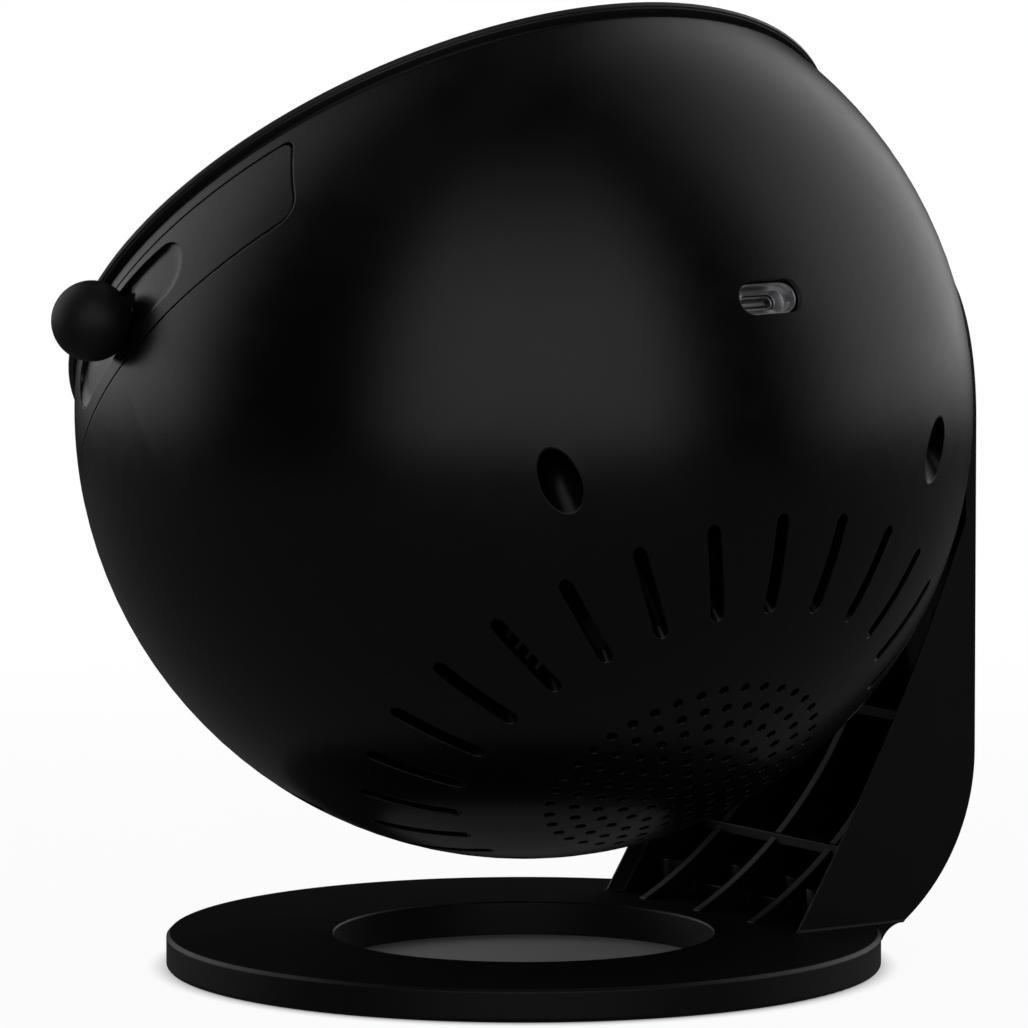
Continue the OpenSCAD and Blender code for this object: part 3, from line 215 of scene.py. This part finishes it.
flag_mesh.materials.append(emitter("flag_cloth", flag_glow))
flags.visible_camera = False
flags.visible_diffuse = False
flags.visible_transmission = False
flags.visible_shadow = False
flags.visible_volume_scatter = False


WORLD_LIGHT = 0.6  # on matt surfaces; the world is pure white where it is seen or mirrored


def world_background():
    s = Shader("studio", world=True)
    path = s.node("LightPath").outputs
    seen = s.math("MAXIMUM", path["Is Camera Ray"], path["Is Glossy Ray"])
    seen = s.math("MAXIMUM", seen, path["Is Transmission Ray"])
    return s.finish(s.node("Background", {"Color": WHITE, "Strength": s.span(seen, WORLD_LIGHT, 1.0)}))


scene.world = world_background()
scene.world.cycles.sampling_method = "NONE"

FLOOR_HALF = 9
FLOOR_DROP = 0.0001  # metres below the foot, so that the two faces don't meet
# Distances from the ring's middle, in metres, over which the floor changes; over the first, its colour goes
# from painted shade grey in the ring's hole to pale
FLOOR_PAINTED_SHADE = (0.04, 0.06)
FLOOR_WHITE = (0.06, 0.068)
FLOOR_PURE_WHITE = (0.16, 0.5)
NEAR_WHITE = 0.95

floor_mesh = bpy.data.meshes.new("floor")
corners = [(x * FLOOR_HALF, y * FLOOR_HALF, 0) for x, y in ((-1, -1), (1, -1), (1, 1), (-1, 1))]
floor_mesh.from_pydata(corners, [], [(0, 1, 2, 3)])
floor = bpy.data.objects.new("floor", floor_mesh)
scene.collection.objects.link(floor)
floor.location = (0, 0, -FLOOR_DROP)
floor.visible_glossy = False


def floor_material():
    """Painted shade inside the ring's hole, where the floor's colour is darkened to grey, fading to white
    outside it, with the object's shadow between.
    """
    s = Shader("pale_floor")
    co = s.coords()
    away = s.node("VectorMath", {0: co}, operation="LENGTH").outputs["Value"]
    pale = s.mix(s.noise(40), rgba((0.9, 0.9, 0.9)), rgba((0.93, 0.93, 0.93)))
    # Painted shade: the floor's colour is darkened to 0.4 grey inside the ring's hole, standing in for the
    # deep shade under the ball
    painted_shade_colour = s.mix(s.span(away, 0.0, 1.0, *FLOOR_PAINTED_SHADE, smooth=True), rgba((0.4, 0.4, 0.4)), pale)
    plain = s.node("BsdfDiffuse", {"Color": painted_shade_colour})
    path = s.node("LightPath").outputs
    seen = s.math("MAXIMUM", path["Is Camera Ray"], path["Is Transmission Ray"])
    white = s.node("Emission", {"Color": WHITE, "Strength": 1.0})
    near = s.span(away, 0.0, NEAR_WHITE, *FLOOR_WHITE, smooth=True)
    beyond = s.span(away, 0.0, 1 - NEAR_WHITE, *FLOOR_PURE_WHITE, smooth=True)
    share = s.math("MULTIPLY", s.math("ADD", near, beyond), seen)
    return s.finish(s.node("MixShader", {0: share, 1: plain.outputs[0], 2: white.outputs[0]}))


floor_mesh.materials.append(floor_material())

# ---------------------------------------------------------------- materials
CLOUD_SCALE = 28
ROUGH_SCALE = 160
STREAK_SCALE = 60
ROUGH_SPAN = 0.05
GRAIN_HEIGHT = 0.05 * MM


def surface(name, colour, rough, spec=0.5, metal=0.0, grain=0.0, grain_mm=0.35, edge_mm=0.0,
            tint=0.12, coat=0.0, sheen=0.0, streak=None):
    """Moulded plastic, rubber, metal or board: fine grain, cloudy tone and roughness, rounded edges.

    grain is the strength of the bumps and grain_mm their size, edge_mm the radius that edges show,
    tint the share by which the tone varies, and streak the stretch of a brushed finish.
    """
    s = Shader(name)
    co = s.coords()
    b = s.node("BsdfPrincipled", {"Metallic": metal, "Specular IOR Level": spec,
                                  "Coat Weight": coat, "Sheen Weight": sheen})
    cloud = s.noise(CLOUD_SCALE, 3, 0.55, co)
    fine = s.noise(1000 / grain_mm, 2, 0.5, co)
    tone = s.math("ADD", s.math("MULTIPLY", cloud, 0.6), s.math("MULTIPLY", fine, 0.4))
    s.fill(b.inputs["Base Color"], s.mix(tone, rgba(colour, 1 - tint), rgba(colour, 1 + tint)))
    rough_in = s.noise(ROUGH_SCALE, 2, 0.6, co)
    if streak:
        stretched = s.node("Mapping", {"Vector": co, "Scale": streak}).outputs[0]
        rough_in = s.math("ADD", s.math("MULTIPLY", rough_in, 0.4),
                          s.math("MULTIPLY", s.noise(STREAK_SCALE, 3, 0.6, stretched), 0.6))
    s.fill(b.inputs["Roughness"], s.span(rough_in, rough - ROUGH_SPAN, rough + ROUGH_SPAN))
    normal = None
    if edge_mm:
        normal = s.node("Bevel", {"Radius": edge_mm * MM}, samples=6).outputs[0]
    if grain:
        bump = s.node("Bump", {"Height": fine, "Strength": grain, "Distance": GRAIN_HEIGHT})
        if normal:
            s.fill(bump.inputs["Normal"], normal)
        normal = bump.outputs[0]
    if normal:
        s.fill(b.inputs["Normal"], normal)
    return s.finish(b)


def glass_material():
    """Coated glass, bluer towards its edge, with a little dust in its roughness."""
    s = Shader("coated_glass")
    b = s.node("BsdfPrincipled", {"Roughness": 0.02, "IOR": 1.52, "Transmission Weight": 1.0,
                                  "Coat Weight": 0.4, "Coat Tint": rgba((0.55, 0.7, 1.0))})
    facing = s.node("LayerWeight", {"Blend": 0.35}).outputs["Facing"]
    s.fill(b.inputs["Base Color"], s.mix(facing, rgba((0.93, 0.97, 0.95)), rgba((0.72, 0.8, 0.95))))
    s.fill(b.inputs["Roughness"], s.span(s.noise(300, 4, 0.7), 0.0, 0.05, 0.55, 0.9))
    return s.finish(b)


BLACK = (0.0016, 0.0016, 0.0017)
MATS = {
    # The black plastics of the outside
    "satin_shell": surface("satin_black", BLACK, 0.27, grain=0.12, grain_mm=0.4, edge_mm=0.35),
    "stand_plastic": surface("stand_black", BLACK, 0.42, 0.4, grain=0.2, edge_mm=0.35),
    "bezel_plastic": surface("bezel_grey", (0.022, 0.022, 0.024), 0.38, grain=0.15, edge_mm=0.3),
    "panel_plastic": surface("panel_gloss", (0.006, 0.006, 0.007), 0.1, coat=0.3, edge_mm=0.3),
    "knob_plastic": surface("knob_matt", (0.0045, 0.0045, 0.0047), 0.5, 0.4, grain=0.3, grain_mm=0.3),
    "control_plastic": surface("control_grey", (0.02, 0.02, 0.022), 0.38, grain=0.15, edge_mm=0.25),
    "rubber": surface("matt_rubber", (0.008, 0.008, 0.0085), 0.75, 0.3, grain=0.5, grain_mm=0.5,
                      sheen=0.05),
    # Plastics and fibre inside
    "inner_plastic": surface("inner_grey", (0.035, 0.036, 0.04), 0.5, 0.4, grain=0.3, edge_mm=0.2),
    "rail_plastic": surface("rail_grey", (0.09, 0.092, 0.098), 0.45, grain=0.1, edge_mm=0.2),
    "gear_plastic": surface("natural_acetal", (0.72, 0.7, 0.62), 0.38, grain=0.1, tint=0.04,
                            edge_mm=0.15),
    "fibre": surface("pressed_fibre", (0.09, 0.055, 0.035), 0.8, 0.3, grain=0.7, grain_mm=0.6,
                     tint=0.3),
    # Metals
    "steel": surface("zinc_steel", (0.62, 0.62, 0.64), 0.3, metal=1.0, grain=0.1, tint=0.06,
                     edge_mm=0.15, streak=(1, 1, 12)),
    "aluminium": surface("plain_aluminium", (0.66, 0.67, 0.69), 0.36, metal=1.0, tint=0.05,
                         edge_mm=0.15, streak=(1, 1, 14)),
    # Lamp, boards and leads
    "lamp_board": surface("white_mask", (0.78, 0.79, 0.77), 0.35, tint=0.03, edge_mm=0.1),
    "phosphor": surface("phosphor", (0.82, 0.66, 0.16), 0.3, tint=0.1, coat=0.8),
    "board_green": surface("board_mask", (0.015, 0.11, 0.04), 0.3, tint=0.15, coat=0.3, edge_mm=0.1),
    "components": surface("component_black", (0.02, 0.02, 0.022), 0.5, 0.4, grain=0.2, edge_mm=0.1),
    "light_pipe": surface("light_pipe", (0.7, 0.78, 0.82), 0.18, tint=0.05, coat=0.5),
    "red_lead": surface("red_lead", (0.05, 0.006, 0.005), 0.45, grain=0.1),
    "yellow_lead": surface("yellow_lead", (0.2, 0.15, 0.03), 0.45, grain=0.1),
    # What the light passes through
    "star_film": surface("star_film", (0.006, 0.009, 0.03), 0.12, coat=0.8),
    "glass": glass_material(),
}
SLOT_OF = {p["node"]: p["material_slot"] for p in frame["record"]["subparts"]}

for node_name, ob in nodes.items():
    ob.data.materials.clear()
    ob.data.materials.append(MATS[SLOT_OF[node_name]])

# ---------------------------------------------------------------- added pieces on the head
# Sizes in millimetres and degrees, as the CAD has them, from the ball's centre
HEAD_TILT = 40  # from upright, at rest
HEAD_R = 80
SCOOP_HALF_W, SCOOP_R, SCOOP_Z = 22, 5.25, 24.2
STEM_R, STEM_GAP, KNOB_Z = 2.2, 0.15, 25.3
SOCKET_POLAR = 69.6
SOCKET_W, SOCKET_H = 12.9, 6
MOUTH_W, MOUTH_H = 7.1, 2.5
SHARP_ANGLE = 35

head_place = (Matrix.Translation(HEAD_CENTRE) @ Matrix.Rotation(math.radians(HEAD_TILT), 4, "X")
              @ Matrix.Scale(MM, 4))
socket_place = head_place @ Matrix.Rotation(math.radians(SOCKET_POLAR - 180), 4, "X")


def stadium_loop(half_w, r, straight=14, round_steps=12):
    """Points round a slot shape with rounded ends, half_w to each end and r above and below."""
    half = half_w - r
    loop = []
    for side in (1, -1):
        loop += [(side * (half + r * math.cos(t)), side * r * math.sin(t))
                 for t in (math.pi * (i / round_steps - 0.5) for i in range(round_steps))]
        loop += [(side * half * (1 - 2 * i / straight), side * r) for i in range(straight)]
    return loop


def ring_piece(name, loops, place, slot_name, body="head"):
    """A closed ring whose surface runs through the loops of points, and from the last back to the first."""
    bm = bmesh.new()
    rows = [[bm.verts.new(place @ Vector(point)) for point in loop] for loop in loops]
    for a, b in zip(rows, rows[1:] + rows[:1]):
        for i in range(len(a)):
            j = (i + 1) % len(a)
            bm.faces.new((a[i], a[j], b[j], b[i]))
    bmesh.ops.recalc_face_normals(bm, faces=bm.faces)
    mesh = bpy.data.meshes.new(name)
    bm.to_mesh(mesh)
    bm.free()
    mesh.shade_smooth()
    mesh.set_sharp_from_angle(angle=math.radians(SHARP_ANGLE))
    piece = bpy.data.objects.new(name, mesh)
    scene.collection.objects.link(piece)
    mesh.materials.append(MATS[slot_name])
    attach(piece, body)
    return piece


def dish_depth(from_stem):
    """How far the finger recess's floor lies inside the ball: shallow, with a cup under the round knob."""
    return max(0.9, 3.1 - 0.08 * from_stem ** 2)


# From the dish's edge, 0, to the stem, 1: how much of its full depth the floor has reached there
DISH_STEPS = ((0.0, 0.0), (0.03, 0.35), (0.07, 0.7), (0.12, 0.92), (0.18, 1.0),
              (0.3, 1.0), (0.45, 1.0), (0.6, 1.0), (0.75, 1.0), (0.88, 1.0), (1.0, 1.0))


def scoop_dish(thick=0.6, gap=0.06, lip=0.12):
    """The smooth shallow floor of the finger recess, with a soft edge and a hole for the knob's stem."""
    edge = stadium_loop(SCOOP_HALF_W - gap, SCOOP_R - gap)
    loops = []
    for extra, steps in ((0.0, DISH_STEPS), (thick, DISH_STEPS[::-1])):
        for inward, share in steps:
            loop = []
            for y, z in edge:
                dy, dz = y, z + SCOOP_Z - KNOB_Z
                away = math.hypot(dy, dz)
                k = 1 + ((STEM_R + STEM_GAP) / away - 1) * inward
                py, pz = dy * k, KNOB_Z + dz * k
                depth = lip + (dish_depth(away * k) - lip) * share + extra
                loop.append((math.sqrt((HEAD_R - depth) ** 2 - py ** 2 - pz ** 2), py, pz))
            loops.append(loop)
    return ring_piece("scoop_dish", loops, head_place, "satin_shell", "tray")


def socket_frame(depth=1.5, bottom=4.6, gap=0.1, rim=0.3, fillet=0.12, slope=0.9, foot=0.4):
    """The metal frame that lines the charging recess: a thin bright rim, and a funnel down to the mouth."""
    top = HEAD_R - depth
    low = HEAD_R - bottom
    out_w, out_h = SOCKET_W / 2 - gap, SOCKET_H / 2 - gap
    in_w, in_h = MOUTH_W / 2 + gap, MOUTH_H / 2 + gap
    inset_heights = ((0, low - fillet), (0, top - fillet), (fillet, top), (rim, top),
                     (rim + fillet, top - fillet), (slope, low + foot))
    sides = [(out_w - inset, out_h - inset, z) for inset, z in inset_heights]
    sides += [(in_w, in_h, low + fillet), (in_w, in_h, low - fillet)]
    loops = [[(x, y, z) for x, y in stadium_loop(w, h)] for w, h, z in sides]
    return ring_piece("socket_frame", loops, socket_place, "steel")


scoop_dish()
socket_frame()
